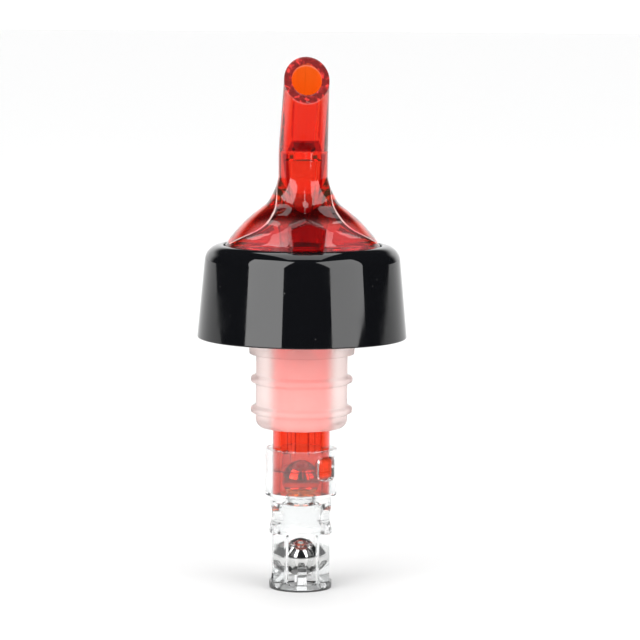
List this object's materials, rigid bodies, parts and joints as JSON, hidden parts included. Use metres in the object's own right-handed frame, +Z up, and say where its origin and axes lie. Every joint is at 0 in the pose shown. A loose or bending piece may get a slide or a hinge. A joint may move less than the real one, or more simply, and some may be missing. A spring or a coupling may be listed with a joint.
{
  "type": "liquor pour spout",
  "caption": "Bottle pourer with a leaning clear spout, a flared foot on a round collar, a finned cork, and steel metering balls in a caged tube.",
  "frame": {"origin": "on the pourer's axis at the underside of the cork's lip, where the bottle's mouth stops", "axes": "+Z up along the axis towards the spout, -Y to the front where the spout leans and pours, +X to the right seen from the front"},
  "size_m": [0.0432, 0.0432, 0.1099],
  "materials": {
    "tinted_clear_plastic": "transparent red moulded plastic, polished",
    "black_gloss_plastic": "high-gloss black moulded plastic",
    "milky_soft_plastic": "soft milky translucent plastic, satin",
    "clear_plastic": "water-clear moulded plastic, polished",
    "polished_steel": "polished stainless steel ball"
  },
  "bodies": {
    "pourer": {"spout_body": "tinted_clear_plastic", "collar": "black_gloss_plastic", "cork": "milky_soft_plastic", "ball_cage": "clear_plastic", "seat_insert": "clear_plastic"},
    "lower_metering_ball": {"lower_ball": "polished_steel"},
    "middle_metering_ball": {"middle_ball": "polished_steel"},
    "upper_metering_ball": {"upper_ball": "polished_steel"}
  },
  "joints": [
    {"name": "lower_ball_travel", "type": "slide", "parent": "pourer", "child": "lower_metering_ball", "axis": [0, 0, 1], "range_m": [0, 0.0085]},
    {"name": "middle_ball_travel", "type": "slide", "parent": "pourer", "child": "middle_metering_ball", "axis": [0, 0, 1], "range_m": [0, 0.0151]},
    {"name": "upper_ball_travel", "type": "slide", "parent": "pourer", "child": "upper_metering_ball", "axis": [0, 0, 1], "range_m": [0, 0.0138]}
  ]
}
